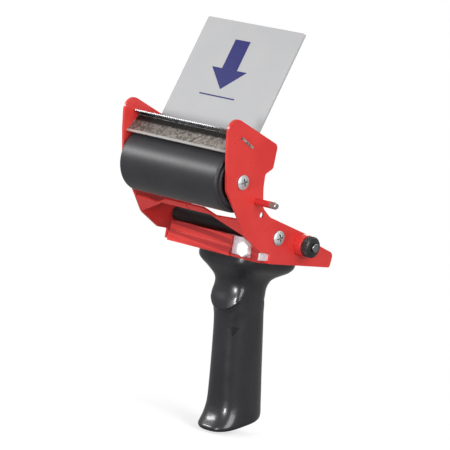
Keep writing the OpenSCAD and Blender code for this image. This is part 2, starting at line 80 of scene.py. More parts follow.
class Graph:
    """A node material, built one node at a time."""

    def __init__(self, name):
        self.material = bpy.data.materials.new(name)
        self.material.use_nodes = True
        self.tree = self.material.node_tree
        self.tree.nodes.clear()
        self.coords = self.add("ShaderNodeTexCoord").outputs["Object"]
        self.mm = self.vector_math("SCALE", self.coords, scale=1 / MM)

    def add(self, kind, inputs=None, **settings):
        """A node with its settings and inputs; an input is a value or another node's socket."""
        node = self.tree.nodes.new(kind)
        for key, value in settings.items():
            setattr(node, key, value)
        for key, value in (inputs or {}).items():
            if isinstance(value, bpy.types.NodeSocket):
                self.tree.links.new(value, node.inputs[key])
            else:
                node.inputs[key].default_value = value
        return node

    def math(self, operation, a, b=0.0):
        return self.add("ShaderNodeMath", {0: a, 1: b}, operation=operation).outputs[0]

    def vector_math(self, operation, a, b=(0, 0, 0), scale=1.0):
        node = self.add("ShaderNodeVectorMath", {0: a, 1: b, 3: scale}, operation=operation)
        return node.outputs[1 if operation in ("DOT_PRODUCT", "LENGTH") else 0]

    def noise(self, size_mm, detail=3.0, rough=0.5, at=None):
        """Noise whose blobs are about size_mm across."""
        inputs = {"Vector": at or self.mm, "Scale": 1 / size_mm, "Detail": detail,
                  "Roughness": rough}
        return self.add("ShaderNodeTexNoise", inputs).outputs["Fac"]

    def stretched(self, x=1.0, y=1.0, z=1.0):
        """Coordinates in millimetres, each axis divided by its stretch."""
        return self.vector_math("MULTIPLY", self.mm, (1 / x, 1 / y, 1 / z))

    def span(self, value, from_low, from_high, low, high, smooth=False):
        """Map a range of values to another range, clamped."""
        inputs = {0: value, 1: from_low, 2: from_high, 3: low, 4: high}
        kind = "SMOOTHSTEP" if smooth else "LINEAR"
        return self.add("ShaderNodeMapRange", inputs, interpolation_type=kind).outputs[0]

    def mix(self, share, a, b):
        """Blend two colours by a share."""
        node = self.add("ShaderNodeMix", data_type="RGBA")
        for socket, value in zip((node.inputs[0], node.inputs[6], node.inputs[7]), (share, a, b)):
            if isinstance(value, bpy.types.NodeSocket):
                self.tree.links.new(value, socket)
            else:
                socket.default_value = value
        return node.outputs[2]

    def edge_mask(self, radius_mm, low=0.003, high=0.05):
        """1 on convex and concave edges within radius_mm, 0 on flat faces."""
        rounded = self.add("ShaderNodeBevel", {"Radius": radius_mm * MM}, samples=6).outputs[0]
        plain = self.add("ShaderNodeNewGeometry").outputs["Normal"]
        bend = self.math("SUBTRACT", 1.0, self.vector_math("DOT_PRODUCT", rounded, plain))
        return self.span(bend, low, high, 0.0, 1.0, smooth=True)

    def bump(self, height, depth_mm, strength=1.0):
        inputs = {"Height": height, "Distance": depth_mm * MM, "Strength": strength}
        return self.add("ShaderNodeBump", inputs).outputs[0]

    def finish(self, color, roughness, normal=None, metallic=0.0, **extra):
        inputs = {"Base Color": color, "Roughness": roughness, "Metallic": metallic}
        inputs.update({key.replace("_", " "): value for key, value in extra.items()})
        if normal is not None:
            inputs["Normal"] = normal
        shader = self.add("ShaderNodeBsdfPrincipled", inputs)
        self.add("ShaderNodeOutputMaterial", {"Surface": shader.outputs[0]})
        return self.material


def rgb(red, green, blue):
    """Linear colour from display values of 0 to 255."""
    def linear(v):
        v /= 255
        return v / 12.92 if v <= 0.04045 else ((v + 0.055) / 1.055) ** 2.4
    return linear(red), linear(green), linear(blue), 1.0


def enamel(name, base, shade, reflection_streaks=False):
    """Stove enamel on sheet steel: faint orange peel, slight colour drift, rubbed edges."""
    g = Graph(name)
    drift = g.noise(26, detail=4)
    color = g.mix(g.span(drift, 0.35, 0.65, 0.0, 1.0), shade, base)
    # Painted reflections on the base plate, in light and dark runs
    if reflection_streaks:
        color = painted_reflection_runs(g, color)
    rub = g.math("MULTIPLY", g.edge_mask(0.45), g.span(g.noise(1.6, 5, 0.65), 0.46, 0.62, 0.0, 0.55))
    color = g.mix(rub, color, rgb(240, 112, 100))
    chip = g.math("MULTIPLY", g.edge_mask(0.3, 0.02, 0.10),
                  g.span(g.noise(0.9, 5, 0.6), 0.66, 0.70, 0.0, 1.0))
    color = g.mix(chip, color, rgb(120, 92, 88))
    peel = g.noise(0.55, 2)
    dust = g.noise(5, 6, 0.7)
    rough = g.span(dust, 0.3, 0.7, 0.26, 0.38)
    normal = g.bump(peel, 0.012, 0.55)
    return g.finish(color, rough, normal, Coat_Weight=0.3, Coat_Roughness=0.12,
                    Specular_IOR_Level=0.45)


def painted_reflection_runs(g, color):
    """Painted reflections: long light and dark runs in the paint, fanned along the fold of the base."""
    part = g.add("ShaderNodeSeparateXYZ", {0: g.mm})
    slant = g.math("ADD", part.outputs[2], g.math("MULTIPLY", part.outputs[0], 0.06))
    fan = g.add("ShaderNodeCombineXYZ", {0: g.math("MULTIPLY", part.outputs[0], 0.025),
                                         1: g.math("MULTIPLY", part.outputs[1], 0.2), 2: slant})
    runs = g.noise(2.6, 2, 0.5, at=fan.outputs[0])
    # Painted reflections: dark runs first, then light runs
    color = g.mix(g.span(runs, 0.40, 0.54, 0.62, 0.0, smooth=True), color, rgb(130, 12, 22))
    return g.mix(g.span(runs, 0.56, 0.68, 0.0, 0.55, smooth=True), color, rgb(250, 66, 52))


def stud_finish(name, tip_x):
    """Red enamel that stops short of the stud's end, which is bare steel."""
    g = Graph(name)
    ragged = g.math("MULTIPLY", g.math("SUBTRACT", g.noise(1.1, 3), 0.5), 2.2)
    along = g.math("ADD", g.add("ShaderNodeSeparateXYZ", {0: g.mm}).outputs[0], ragged)
    bare = g.span(along, tip_x / MM - 0.3, tip_x / MM + 0.3, 0.0, 1.0)
    paint = g.mix(g.noise(6, 4), rgb(186, 30, 34), rgb(214, 58, 54))
    metal = g.mix(g.noise(0.9, 4), rgb(120, 118, 116), rgb(196, 194, 190))
    rough = g.span(g.noise(3, 4), 0.3, 0.7, 0.28, 0.42)
    return g.finish(g.mix(bare, paint, metal), rough, g.bump(g.noise(0.6, 2), 0.01, 0.5),
                    g.math("MULTIPLY", bare, 0.8))


def zinc(name, base, dark, spangle_mm=1.5, metallic=0.85, stained=0.45, rough_low=0.30,
         detail=None):
    """Passivated zinc plate: mottled crystals, fine scratches and a few dull stains.

    A detail is a function that shades the colour further by place.
    """
    g = Graph(name)
    drift = g.add("ShaderNodeTexNoise", {"Vector": g.mm, "Scale": 0.6}).outputs["Color"]
    warped = g.vector_math("ADD", g.mm, g.vector_math("SCALE", drift, scale=1.2))
    cells = g.add("ShaderNodeTexVoronoi", {"Vector": warped, "Scale": 1 / spangle_mm})
    tone = g.add("ShaderNodeSeparateColor", {0: cells.outputs["Color"]}).outputs[0]
    speck = g.noise(0.7, 4, 0.7)
    share = g.math("ADD", g.math("MULTIPLY", tone, 0.55), g.math("MULTIPLY", speck, 0.5))
    color = g.mix(g.span(share, 0.25, 0.75, 0.0, 1.0), dark, base)
    stain = g.span(g.noise(6, 5, 0.65), 0.50, 0.68, 0.0, stained)
    color = g.mix(stain, color, rgb(112, 98, 84))
    if detail:
        color = detail(g, color)
    color = g.mix(g.math("MULTIPLY", g.edge_mask(0.3), 0.7), color, rgb(240, 238, 234))
    rough = g.span(share, 0.2, 0.8, rough_low + 0.22, rough_low)
    scratch = g.noise(0.35, 3, 0.6, at=g.stretched(x=14, y=1, z=1))
    normal = g.bump(g.math("ADD", g.math("MULTIPLY", tone, 0.4), scratch), 0.012, 0.5)
    return g.finish(color, rough, normal, metallic)


def front_face(g, color):
    """Bracket's front leg: black painted shadow under the blade, brighter to the left plate, and a painted
    highlight at its lip.
    """
    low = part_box("blade_bracket")[0].z / MM
    shadow_band_mm, fade_mm = 7.9, 1.4
    full_y_mm, none_y_mm = -27.0, -26.4
    lip_highlight_mm, lip_highlight_end_mm = 1.3, 1.9
    part = g.add("ShaderNodeSeparateXYZ", {0: g.mm})
    wave = g.math("MULTIPLY", g.math("SUBTRACT", g.noise(5, 3), 0.5), 1.2)
    up = g.math("ADD", g.math("SUBTRACT", part.outputs[2], low), wave)
    ahead = g.span(part.outputs[1], full_y_mm, none_y_mm, 1.0, 0.0)
    side = g.span(part.outputs[0], -34, 30, 0.45, 0.0, smooth=True)
    color = g.mix(side, color, rgb(52, 48, 45))
    # Painted shadow of the blade: a near-black band along the top of the leg, on its forward part
    band = g.span(up, shadow_band_mm - fade_mm, shadow_band_mm, 0.0, 0.92, smooth=True)
    painted_blade_shadow = g.math("MULTIPLY", band, ahead)
    color = g.mix(painted_blade_shadow, color, rgb(8, 8, 8))
    # Painted highlight: a near-white line along the bottom edge of the leg
    lip = g.span(g.math("SUBTRACT", part.outputs[2], low), lip_highlight_mm, lip_highlight_end_mm, 0.95, 0.0)
    return g.mix(lip, color, rgb(255, 253, 250))


def painted_recess_shade(g, color):
    """Painted shade in sunk places, such as the cross in a screw head."""
    open_sky = g.add("ShaderNodeAmbientOcclusion", {"Distance": 1.4 * MM}).outputs["AO"]
    return g.mix(g.span(open_sky, 0.45, 0.85, 0.9, 0.0), color, rgb(44, 48, 58))


def steel(name, base, turned=False):
    """Bright steel: fine lay of machining marks, handling smears and brighter edges."""
    g = Graph(name)
    lay = g.stretched(x=0.12, y=3, z=3) if turned else g.stretched(x=8, y=0.5, z=0.5)
    marks = g.noise(0.8, 4, 0.6, at=lay)
    smear = g.noise(4, 5, 0.6)
    color = g.mix(g.span(marks, 0.3, 0.7, 0.0, 0.35), base, rgb(90, 90, 92))
    color = g.mix(g.math("MULTIPLY", g.edge_mask(0.25), 0.5), color, rgb(245, 245, 245))
    rough = g.span(smear, 0.3, 0.7, 0.20, 0.34)
    return g.finish(color, rough, g.bump(marks, 0.008, 0.5), 1.0)


def rubber(name, base):
    """Ground rubber: fine circumferential grinding, faint bloom and dust in the pores."""
    g = Graph(name)
    rings = g.noise(0.5, 3, 0.6, at=g.stretched(x=0.5, y=12, z=12))
    pores = g.noise(0.35, 2)
    bloom = g.span(g.noise(11, 5, 0.6), 0.4, 0.75, 0.0, 0.22)
    color = g.mix(bloom, base, rgb(60, 60, 64))
    color = g.mix(g.math("MULTIPLY", g.edge_mask(0.8), 0.35), color, rgb(70, 70, 74))
    rough = g.span(rings, 0.3, 0.7, 0.37, 0.46)
    normal = g.bump(g.math("ADD", rings, g.math("MULTIPLY", pores, 0.7)), 0.02, 0.5)
    return g.finish(color, rough, normal, Specular_IOR_Level=0.5, Sheen_Weight=0.08)


def moulded(name, base, rough_low, rough_high, grain_mm=0.5, grain_depth=0.01, coat=0.0):
    """Moulded plastic: fine grain, flow marks, and edges polished by handling."""
    g = Graph(name)
    grain = g.noise(grain_mm, 3, 0.55)
    flow = g.noise(14, 4, 0.55, at=g.stretched(x=1, y=1, z=2.5))
    lighter = tuple(min(1.0, c * 1.35 + 0.004) for c in base[:3]) + (1.0,)
    color = g.mix(g.span(flow, 0.35, 0.7, 0.0, 1.0), base, lighter)
    polish = g.math("MULTIPLY", g.edge_mask(1.0), g.span(g.noise(3, 4), 0.4, 0.6, 0.2, 1.0))
    color = g.mix(g.math("MULTIPLY", polish, 0.25), color, rgb(96, 96, 100))
    rough = g.span(g.noise(5, 5, 0.6), 0.3, 0.7, rough_low, rough_high)
    return g.finish(color, rough, g.bump(grain, grain_depth, 0.6), Coat_Weight=coat,
                    Coat_Roughness=0.12)


def flap_plastic(name, base, ink):
    """Pale grey sheet plastic with a plain arrow printed over a line."""
    g = Graph(name)
    cloud = g.noise(20, 4, 0.5)
    color = g.mix(g.span(cloud, 0.35, 0.65, 0.0, 1.0), base, rgb(167, 168, 170))
    scuff = g.span(g.noise(0.6, 4, 0.7, at=g.stretched(x=7, y=1, z=1)), 0.62, 0.75, 0.0, 0.35)
    color = g.mix(scuff, color, rgb(182, 182, 182))
    color = g.mix(arrow_mask(g), color, ink)
    rough = g.span(g.noise(3, 4), 0.3, 0.7, 0.36, 0.46)
    return g.finish(color, rough, g.bump(g.noise(1.2, 3), 0.006, 0.5), Specular_IOR_Level=0.4,
                    Subsurface_Weight=0.04, Subsurface_Scale=0.002)


def arrow_mask(g):
    """1 inside an arrow over a line, printed on the front of the flap, in the flap's own plane."""
    hinge_y, hinge_z = axis_of("wiper_swing")
    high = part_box("wiper_plate")[1]
    up = Vector((0, high.y - hinge_y, high.z - hinge_z)).normalized()
    foot = Vector((0, hinge_y, hinge_z)) / MM
    rel = g.vector_math("SUBTRACT", g.mm, tuple(foot))
    off_middle, line_low, line_high = 4.0, 22.0, 22.9
    x = g.add("ShaderNodeSeparateXYZ", {0: rel}).outputs[0]
    across = g.math("ABSOLUTE", g.math("ADD", x, off_middle))
    along = g.vector_math("DOT_PRODUCT", rel, tuple(up))
    tip, neck, tail, half_head, half_shaft = 27.0, 40.0, 59.0, 14.0, 6.0
    head_edge = g.math("MULTIPLY", g.math("SUBTRACT", along, tip), half_head / (neck - tip))
    head = inside(g, across, along, head_edge, tip, neck)
    shaft = inside(g, across, along, half_shaft, neck - 0.1, tail)
    line = inside(g, across, along, half_head, line_low, line_high)
    facing = g.math("LESS_THAN", g.add("ShaderNodeSeparateXYZ", {
        0: g.add("ShaderNodeNewGeometry").outputs["Normal"]}).outputs[1], 0.0)
    return g.math("MULTIPLY", g.math("MAXIMUM", g.math("MAXIMUM", head, shaft), line), facing)


def inside(g, across, along, half, low, high):
    """1 where across is under half and along is between low and high."""
    band = g.math("MULTIPLY", g.math("GREATER_THAN", along, low), g.math("LESS_THAN", along, high))
    return g.math("MULTIPLY", g.math("LESS_THAN", across, half), band)


def grip_plastic(name, base):
    """Glossy moulded plastic: parting line, faint flow marks, handling polish and a triangle mark."""
    g = Graph(name)
    x = g.math("ABSOLUTE", g.add("ShaderNodeSeparateXYZ", {0: g.mm}).outputs[0])
    seam = g.span(x, 0.05, 0.22, 1.0, 0.0, smooth=True)
    flow = g.noise(14, 4, 0.55, at=g.stretched(x=1, y=1, z=2.5))
    color = g.mix(g.span(flow, 0.35, 0.7, 0.0, 1.0), base, rgb(42, 42, 46))
    color = g.mix(g.math("MULTIPLY", triangle_mask(g), 0.85), color, rgb(10, 10, 11))
    color = g.mix(g.math("MULTIPLY", seam, 0.25), color, rgb(14, 14, 15))
    rough = g.span(g.noise(7, 5, 0.6), 0.3, 0.7, 0.26, 0.34)
    height = g.math("SUBTRACT", g.math("MULTIPLY", g.noise(1.2, 2), 0.2), seam)
    return g.finish(color, rough, g.bump(height, 0.02, 0.25), Coat_Weight=0.3, Coat_Roughness=0.1)


def triangle_mask(g):
    """1 inside a small moulded triangle, point down, on the left of the grip below its crease."""
    low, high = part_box("grip")
    below_top, behind_front, half_width, tall = 43.2, 15.0, 2.3, 5.8
    part = g.add("ShaderNodeSeparateXYZ", {0: g.mm})
    down = g.math("SUBTRACT", high.z / MM - below_top, part.outputs[2])
    aside = g.math("ABSOLUTE", g.math("SUBTRACT", part.outputs[1], low.y / MM + behind_front))
    width = g.math("SUBTRACT", half_width, g.math("MULTIPLY", down, half_width / tall))
    shape = g.math("MULTIPLY", g.math("GREATER_THAN", down, 0.0), g.math("LESS_THAN", aside, width))
    return g.math("MULTIPLY", shape, g.math("GREATER_THAN", part.outputs[0], 0.0))


RED = rgb(214, 58, 54)
BARE_TIP_MM = 4.5
MATERIALS = {
    "red_paint": enamel("red_enamel", RED, rgb(205, 48, 46)),
    "zinc_plate": zinc("mottled_zinc", rgb(196, 190, 184), rgb(120, 114, 108)),
    # Screw heads carry painted shade in their cross recesses
    "screw_zinc": zinc("screw_zinc", rgb(236, 238, 238), rgb(176, 180, 184), spangle_mm=0.9,
                       metallic=0.6, stained=0.3, rough_low=0.26, detail=painted_recess_shade),
    "bright_steel": steel("bright_steel", rgb(182, 184, 188)),
    "blade_steel": steel("blade_steel", rgb(150, 152, 156)),
    "spring_steel": steel("spring_steel", rgb(176, 178, 182)),
    "roller_rubber": rubber("roller_rubber", rgb(34, 34, 38)),
    "black_plastic": moulded("black_plastic", rgb(13, 13, 14), 0.5, 0.62),
    "knob_plastic": moulded("knob_plastic", rgb(30, 27, 27), 0.26, 0.40,
                            grain_mm=0.4, grain_depth=0.02),
    "grip_plastic": grip_plastic("grip_plastic", rgb(33, 33, 36)),
    "wiper_plastic": flap_plastic("wiper_plastic", rgb(171, 171, 172), rgb(12, 15, 96)),
    "insert_brass": steel("insert_brass", rgb(196, 160, 92), turned=True),
}
SPECIAL = {
    # The base plate's enamel carries painted reflections in runs
    "base_plate": enamel("base_enamel", RED, rgb(196, 40, 40), reflection_streaks=True),
    "blade_bracket": zinc("bracket_zinc", rgb(172, 165, 157), rgb(88, 82, 77), spangle_mm=1.4,
                          metallic=0.35, stained=0.5, rough_low=0.36, detail=front_face),
    # Slide bar, bolt and washer: pale, barely metallic zinc, a painted highlight for their glare
    "slide_bar": zinc("painted_glare_bar", rgb(236, 226, 232), rgb(206, 192, 202), spangle_mm=2.2,
                      metallic=0.25, stained=0.1),
    "slide_bolt": zinc("painted_glare_bolt", rgb(255, 255, 255), rgb(252, 252, 252), spangle_mm=2.0,
                       metallic=0.0, stained=0.0),
    "slide_washer": zinc("painted_glare_bolt_washer", rgb(240, 240, 240), rgb(206, 206, 206),
                         spangle_mm=2.0, metallic=0.3, stained=0.05),
    "stud_pin": stud_finish("stud_enamel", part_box("stud_pin")[1].x - BARE_TIP_MM * MM),
}


# ---------------------------------------------------------------- mesh kit

def new_piece(name, verts, faces, slot, body, replaces=(), smooth_angle=35):
    """A mesh object that rides on a body and takes its material from a slot."""
    mesh = bpy.data.meshes.new(name)
    mesh.from_pydata([tuple(v) for v in verts], [], faces)
    mesh.validate()
    mesh.shade_smooth()
    mesh.set_sharp_from_angle(angle=math.radians(smooth_angle))
    mesh.materials.append(MATERIALS[slot])
    obj = bpy.data.objects.new(name, mesh)
    bpy.context.scene.collection.objects.link(obj)
    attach(obj, body)
    if replaces:
        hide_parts(*replaces)
    return obj


def loft(rings, closed=True):
    """Vertices and faces between rings of equal length; closed also joins the last to the first."""
    sides = len(rings[0])
    n = len(rings)
    faces = [(i * sides + k, i * sides + (k + 1) % sides,
              (i + 1) % n * sides + (k + 1) % sides, (i + 1) % n * sides + k)
             for i in range(n if closed else n - 1) for k in range(sides)]
    if not closed:
        faces.append(tuple(reversed(range(sides))))
        faces.append(tuple((n - 1) * sides + k for k in range(sides)))
    return [v for ring in rings for v in ring], faces


def tube(path, radius, sides=12):
    """Round wire along a path that lies mostly across X. Its faces point inwards."""
    rings = []
    for i, p in enumerate(path):
        ahead = (path[min(i + 1, len(path) - 1)] - path[max(i - 1, 0)]).normalized()
        u = ahead.cross(Vector((1, 0, 0))).normalized()
        v = u.cross(ahead)
        rings.append([p + radius * (u * math.cos(TAU * k / sides) + v * math.sin(TAU * k / sides))
                      for k in range(sides)])
    return loft(rings, closed=False)


def turned(profile, sides, centre, radius_at=None):
    """Closed lathe round a cross axis: profile is a loop of (x, radius), centre is (y, z)."""
    rings = []
    for x, r in profile:
        ring = []
        for k in range(sides):
            a = TAU * k / sides
            rr = r if radius_at is None else radius_at(x, r, a)
            ring.append((x, centre[0] + rr * math.cos(a), centre[1] + rr * math.sin(a)))
        rings.append(ring)
    return loft(rings)


def arc(cx, cy, r, start, end, steps):
    """Points of an arc, angles in degrees."""
    return [(cx + r * math.cos(math.radians(start + (end - start) * i / steps)),
             cy + r * math.sin(math.radians(start + (end - start) * i / steps)))
            for i in range(steps + 1)]


def smoothstep(low, high, v):
    """0 below low, 1 above high, and a smooth rise between them."""
    t = min(1.0, max(0.0, (v - low) / (high - low)))
    return t * t * (3 - 2 * t)


# ---------------------------------------------------------------- carried-over CAD nodes

def dress(node, slot, bevel_mm):
    """Give a CAD node its material, bevelled edges and weighted normals.

    Blender's overlap clamp cuts the bevel to almost nothing on the side and base plates, the
    bracket, the flap and its leaf, the slide bar and the blade screws, so their edges stay
    sharp. The bracket's flat faces aren't merged, since that would close its open middle.
    """
    obj = frame["nodes"][node]
    mesh = obj.data
    mesh.materials.clear()
    mesh.materials.append(SPECIAL.get(node, MATERIALS[slot]))
    if "custom_normal" in mesh.attributes:
        mesh.attributes.remove(mesh.attributes["custom_normal"])
    weld = obj.modifiers.new("weld", "WELD")
    weld.merge_threshold = 0.002 * MM
    if node != "blade_bracket":
        flat = obj.modifiers.new("flat", "DECIMATE")
        flat.decimate_type = "DISSOLVE"
        flat.angle_limit = math.radians(0.4)
    if bevel_mm:
        bevel = obj.modifiers.new("bevel", "BEVEL")
        bevel.width = bevel_mm * MM
        bevel.segments = 2
        bevel.limit_method = "ANGLE"
        bevel.angle_limit = math.radians(38)
    mesh.shade_smooth()
    obj.modifiers.new("shading", "WEIGHTED_NORMAL").keep_sharp = True
    # Faces of five or more corners are cut up last, once their shading is set
    split = obj.modifiers.new("split", "TRIANGULATE")
    split.min_vertices = 5
    split.keep_custom_normals = True


BEVELS_MM = {"blade": 0.06, "wiper_plate": 0.3, "tail_rod": 0, "wiper_springs": 0, "press_axle": 0.2,
             "slide_bolt": 0.4, "wiper_rivets": 0.15, "blade_screws": 0.12, "press_screws": 0.15,
             "guide_screws": 0.15, "wiper_rod": 0.2}
for part in record["subparts"]:
    dress(part["node"], part["material_slot"], BEVELS_MM.get(part["node"], 0.3))


# ---------------------------------------------------------------- press roller sleeve

def build_press_sleeve():
    """Rubber sleeve with rounded shoulders and a moulded groove in each end face."""
    low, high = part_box("press_sleeve")
    bore = (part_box("press_core")[1].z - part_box("press_core")[0].z) / 2 + 0.02 * MM
    radius = (high.z - low.z) / 2
    half = (high.x - low.x) / 2
    shoulder, lip = 1.1 * MM, 0.5 * MM
    groove_r, groove_w, groove_d = 0.5 * (bore + radius), 1.6 * MM, 0.7 * MM
    end = (arc(half - shoulder, radius - shoulder, shoulder, 90, 0, 6)
           + [(half, groove_r + groove_w), (half - groove_d, groove_r + 0.6 * groove_w),
              (half - groove_d, groove_r - 0.6 * groove_w), (half, groove_r - groove_w)]
           + arc(half - lip, bore + lip, lip, 0, -90, 4))
    other = [(-x, r) for x, r in reversed(end)]
    middle = [(half * (0.9 - 0.2 * i), radius) for i in range(10)]
    inner = [(-half * (0.9 - 0.2 * i), bore) for i in range(10)]
    verts, faces = turned(list(reversed(middle)) + end + inner[::-1] + other, 160,
                          axis_of("press_spin"))
    return new_piece("press_sleeve_rubber", verts, faces, "roller_rubber", "press_roller",
                     ["press_sleeve"], 28)


# ---------------------------------------------------------------- knob

def build_knob():
    """Knob with a diamond knurl between two bevelled faces, bored for its insert."""
    low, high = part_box("knob")
    radius = (high.z - low.z) / 2
    insert_low, insert_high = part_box("knob_insert")
    bore = (insert_high.z - insert_low.z) / 2 + 0.02 * MM
    bevel, depth, grooves = 1.2 * MM, 0.5 * MM, 26
    lead = math.pi / (TAU * radius / grooves)

    def knurl(x, r, a):
        if r < radius - 1.0 * MM:
            return r
        turn = grooves * a / 2
        ridge = abs(math.sin(turn + lead * (x - low.x)) * math.sin(turn - lead * (x - low.x)))
        return r - depth * (1 - ridge) * (r - radius + 1.0 * MM) / (1.0 * MM)

    face = radius - 1.9 * MM
    side = [(low.x + bevel * i / 5, face + (radius - face) * math.sin(math.pi / 2 * i / 5))
            for i in range(6)]
    flat = [(low.x + bevel + (high.x - low.x - 2 * bevel) * i / 14, radius) for i in range(1, 14)]
    other = [(low.x + high.x - x, r) for x, r in reversed(side)]
    # A thin ring over the insert's outer end, which the CAD knob doesn't have
    cover, hole = 0.45 * MM, bore - 1.1 * MM
    rim = [(high.x, hole), (high.x - cover, hole), (high.x - cover, bore)]
    profile = [(low.x, bore)] + side + flat + other + rim
    verts, faces = turned(profile, grooves * 8, axis_of("knob_turn"), knurl)
    return new_piece("knob_grip", verts, faces, "knob_plastic", "knob", ["knob"], 32)


# ---------------------------------------------------------------- wiper springs

# The flap's lean at rest; the coils' radius, their outer end and how many turns they make
LEAN = math.radians(23.3)
COIL_R, COIL_X, COIL_TURNS = 2.25 * MM, 36.8 * MM, 5 + 63 / 360


def on_hinge(x, y, z):
    """A point given across, behind and along the flap at rest."""
    hinge_y, hinge_z = axis_of("wiper_swing")
    return Vector((x, hinge_y + y * math.cos(LEAN) + z * math.sin(LEAN),
                   hinge_z - y * math.sin(LEAN) + z * math.cos(LEAN)))


def coil_points(side, first, last):
    """Points of the coil from one count of turns to another, counted from its front leg."""
    steps = max(4, round(36 * (last - first)))
    points = []
    for i in range(steps + 1):
        turns = first + (last - first) * i / steps
        a = TAU * turns - math.pi / 2
        points.append(on_hinge(side * (COIL_X - MM * turns), COIL_R * math.cos(a), COIL_R * math.sin(a)))
    return points


def build_springs():
    """Two torsion springs: coil and front leg on the frame, rear leg on the flap."""
    wire = 0.4 * MM
    for side, name in ((1, "left"), (-1, "right")):
        leg = [on_hinge(side * COIL_X, -9 * MM, -2.2 * MM), on_hinge(side * COIL_X, -6 * MM, -2.28 * MM),
               on_hinge(side * COIL_X, -3 * MM, -2.27 * MM)]
        verts, faces = tube(leg + coil_points(side, 0, COIL_TURNS), wire)
        new_piece("spring_coil_" + name, verts, faces, "spring_steel", "frame",
                  ["wiper_springs"] if side == 1 else (), 60)
        end_x = side * (COIL_X - MM * COIL_TURNS)
        rise = [on_hinge(end_x, y * MM, z * MM) for y, z in ((3.2, 1.0), (4.3, 3.2), (4.55, 5), (4.3, 12))]
        verts, faces = tube(coil_points(side, COIL_TURNS - 0.1, COIL_TURNS) + rise, wire)
        new_piece("spring_leg_" + name, verts, faces, "spring_steel", "wiper", (), 60)


# ---------------------------------------------------------------- pistol grip

GRIP_SIDES = 112
CREASE_BELOW_TOP_MM, TILT_BELOW_TOP_MM = 34.6, 62


def butt_line(tree, low, tie_y):
    """Height of the sloped butt at the tie bolt, and its slope rearwards."""
    heights = []
    ahead, behind = 10 * MM, 14 * MM
    for y in (tie_y - ahead, tie_y + behind):
        heights.append(tree.ray_cast(Vector((0, y, low.z - 0.01)), Vector((0, 0, 1)))[0].z)
    slope = (heights[1] - heights[0]) / (ahead + behind)
    return heights[0] + slope * ahead, slope


def lift(height, k, crease):
    """How far side k of a ring is raised, so that rings near the crease follow its curve."""
    below, above, most = 14 * MM, 26 * MM, 9 * MM
    gap = height - crease
    near = 1 - (gap / above if gap > 0 else -gap / below)
    return most * smoothstep(8, 56, from_front(k)) ** 1.5 * max(0.0, near)


def scan_ring(tree, height, slope, tie_y, crease):
    """Outline of the grip in a cross plane that tilts by slope about the tie bolt."""
    def cast(a, mid, rise=0.0):
        out = Vector((math.cos(a), math.sin(a), slope * math.sin(a)))
        centre = Vector((0, mid, height + rise + slope * (mid - tie_y)))
        hit = tree.ray_cast(centre + out * 0.07, -out)[0]
        return (hit - centre).length / out.length
    front, rear = cast(-math.pi / 2, tie_y), cast(math.pi / 2, tie_y)
    mid = tie_y + (rear - front) / 2
    return mid, [cast(TAU * k / GRIP_SIDES, mid, lift(height, k, crease)) for k in range(GRIP_SIDES)]


def ring_points(height, slope, tie_y, mid, radii, crease=None):
    """Points of a tilted ring from its radii."""
    points = []
    for k, r in enumerate(radii):
        a = TAU * k / len(radii)
        y = mid + r * math.sin(a)
        rise = 0.0 if crease is None else lift(height, k, crease)
        points.append(Vector((r * math.cos(a), y, height + rise + slope * (y - tie_y))))
    return points


def grip_heights(top, crease, butt):
    """Heights of the rings, closest together at the crease."""
    heights = [top, top - 0.6 * MM]
    while heights[-1] > butt + 3.2 * MM:
        near = abs(heights[-1] - crease - 0.8 * MM) < 1.6 * MM
        heights.append(heights[-1] - (0.25 if near else 1.0) * MM)
    return heights


def from_front(k):
    """Angle of side k from the front of the grip, in degrees."""
    return abs((360 * k / GRIP_SIDES + 90 + 180) % 360 - 180)


def thumb_pad(height, angle, crease):
    """How far the pad above the crease stands out at a height and an angle from the front."""
    over = height - crease
    if over <= 0:
        return 0.0
    lip = math.sqrt(max(0.0, 1 - (1 - min(1.0, over / (1.6 * MM))) ** 2))
    fade = 1 - smoothstep(3 * MM, 17 * MM, over)
    return 1.9 * MM * lip * fade * (1 - smoothstep(36, 66, angle))


def smoothed(rings, rounds):
    """Rings of radii, each averaged with its neighbours along and around."""
    for _ in range(rounds):
        n = len(rings)
        rings = [[(rings[max(i - 1, 0)][k] + rings[min(i + 1, n - 1)][k]
                   + rings[i][k - 1] + rings[i][(k + 1) % GRIP_SIDES] + 4 * rings[i][k]) / 8
                  for k in range(GRIP_SIDES)] for i in range(n)]
    return rings


def without_step(heights, rings, above, below):
    """Rings with the part between two heights replaced by a straight run."""
    i0 = max(i for i, h in enumerate(heights) if h > above)
    i1 = min(i for i, h in enumerate(heights) if h < below)
    for i in range(i0 + 1, i1):
        t = (heights[i0] - heights[i]) / (heights[i0] - heights[i1])
        rings[i] = [rings[i0][k] * (1 - t) + rings[i1][k] * t for k in range(GRIP_SIDES)]
    return rings


